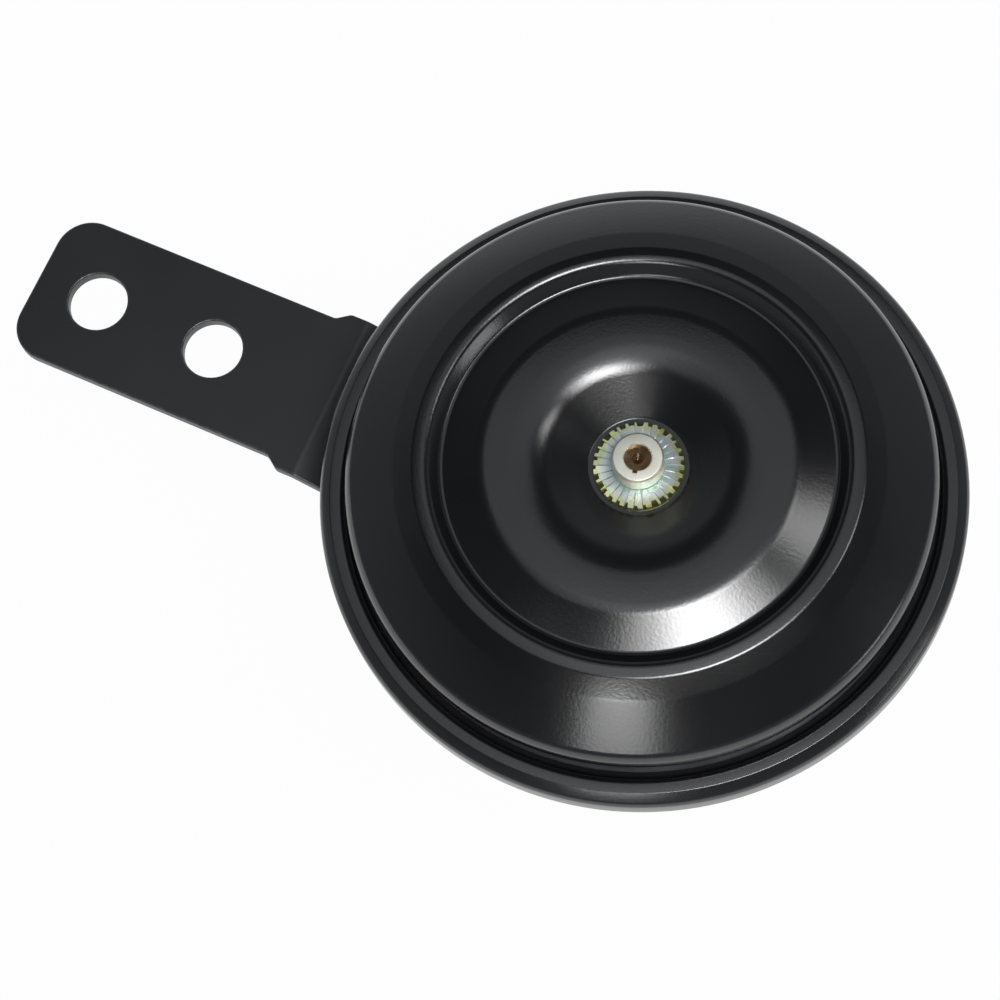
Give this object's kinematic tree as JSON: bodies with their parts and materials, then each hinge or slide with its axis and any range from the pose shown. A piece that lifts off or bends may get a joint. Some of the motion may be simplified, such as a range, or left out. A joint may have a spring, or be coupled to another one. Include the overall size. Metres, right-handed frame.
{
  "type": "car horn",
  "caption": "Disc horn for a vehicle: a black dished tone disc on a vibrating diaphragm in front of a stepped pot, carried by a flat steel strap bracket with bolt holes.",
  "frame": {"origin": "midway between the two bolt holes, on the front face of the bracket's free end", "axes": "+Z the way the horn faces, along its own axis and the bolt holes' axes; +X from the bracket's free end towards the horn"},
  "size_m": [0.1454, 0.09, 0.05],
  "materials": {
    "horn_black": "semi-gloss black coating, slightly pebbled",
    "bracket_black": "satin black coating",
    "diaphragm_steel": "blued spring steel",
    "gasket_paper": "oiled gasket paper",
    "soft_iron": "turned soft iron, dull",
    "spindle_copper": "coppery brown, dull",
    "zinc_bright": "bright zinc plating",
    "zinc_yellow": "yellow passivated zinc plating",
    "nut_plate": "pale yellowish zinc plating, turned",
    "bobbin_plastic": "moulded, dull",
    "coil_copper": "enamelled copper wire",
    "insulator_brown": "pressed laminate, dull",
    "spring_bronze": "rolled spring strip",
    "contact_tungsten": "ground, dull",
    "brass": "rolled brass",
    "lead_insulation": "soft insulation"
  },
  "bodies": {
    "base": {"housing": "horn_black", "clamp_ring": "horn_black", "bracket": "bracket_black", "diaphragm": "diaphragm_steel", "gasket_front": "gasket_paper", "gasket_rear": "gasket_paper", "pole_core": "soft_iron", "coil_bobbin": "bobbin_plastic", "coil_winding": "coil_copper", "insulator_lower": "insulator_brown", "insulator_middle": "insulator_brown", "insulator_upper": "insulator_brown", "breaker_moving_arm": "spring_bronze", "breaker_fixed_arm": "spring_bronze", "contact_moving": "contact_tungsten", "contact_fixed": "contact_tungsten", "breaker_rivets": "brass", "adjusting_screw": "brass", "terminal_plate": "insulator_brown", "terminal_inner_strip": "insulator_brown", "terminal_blade_a": "brass", "terminal_blade_b": "brass", "terminal_rivets": "brass", "lock_washer": "zinc_bright", "stud_nut": "zinc_bright", "lead_coil_terminal": "lead_insulation", "lead_coil_breaker": "lead_insulation", "lead_breaker_terminal": "lead_insulation"},
    "vibrator": {"tone_disc": "horn_black", "toothed_washer": "zinc_yellow", "centre_nut": "nut_plate", "spindle": "spindle_copper", "disc_spacer": "zinc_bright", "armature": "soft_iron"}
  },
  "joints": [
    {"name": "diaphragm_stroke", "type": "slide", "parent": "base", "child": "vibrator", "axis": [0, 0, 1], "range_m": [-0.0004, 0.0004], "stiffness_N_per_m": 20000, "deforming": ["diaphragm"]}
  ]
}
